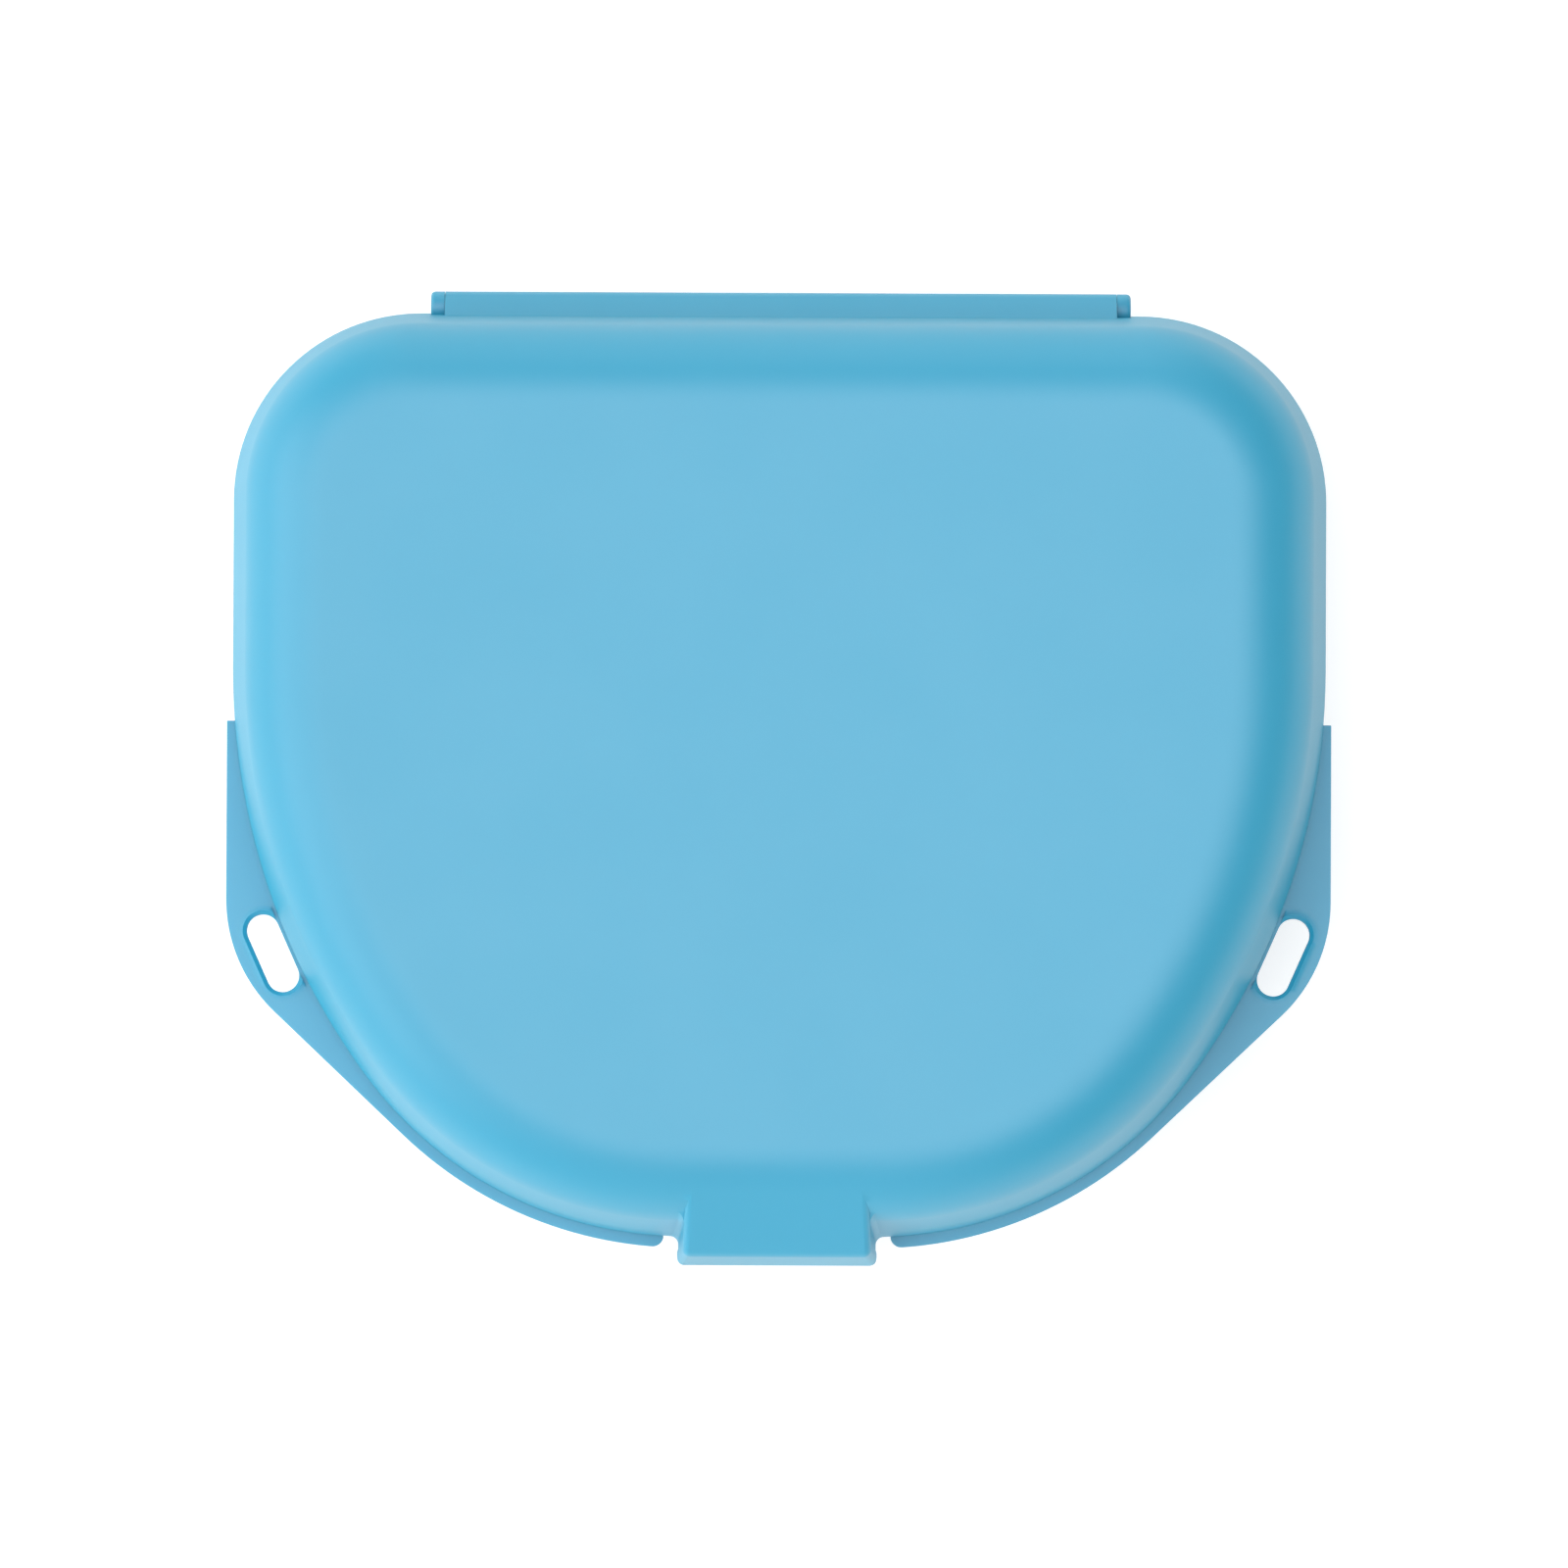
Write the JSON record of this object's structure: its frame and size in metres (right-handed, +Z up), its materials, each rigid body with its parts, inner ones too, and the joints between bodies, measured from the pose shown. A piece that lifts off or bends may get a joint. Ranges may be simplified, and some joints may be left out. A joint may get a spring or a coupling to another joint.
{
  "type": "retainer case",
  "caption": "D-shaped clamshell case for an orthodontic retainer, with a rear pinned hinge, a front snap tab, and a slotted ear on each side for a cord.",
  "frame": {"origin": "on the table under the middle of the closed case's bounding box", "axes": "+Z up out of the lid, -Y towards the latch at the front, +Y towards the hinge, +X to the right seen from the front"},
  "size_m": [0.0808, 0.0712, 0.0266],
  "materials": {
    "case_plastic": "satin moulded polypropylene, sky blue",
    "pin_steel": "drawn wire"
  },
  "bodies": {
    "base": {"base_tray": "case_plastic", "hinge_pin_left": "pin_steel", "hinge_pin_right": "pin_steel"},
    "lid": {"lid_shell": "case_plastic"}
  },
  "joints": [
    {"name": "lid_hinge", "type": "hinge", "parent": "base", "child": "lid", "pos_m": [0, 0.0344, 0.01328], "axis": [-1, 0, 0], "range_deg": [0, 180]}
  ]
}
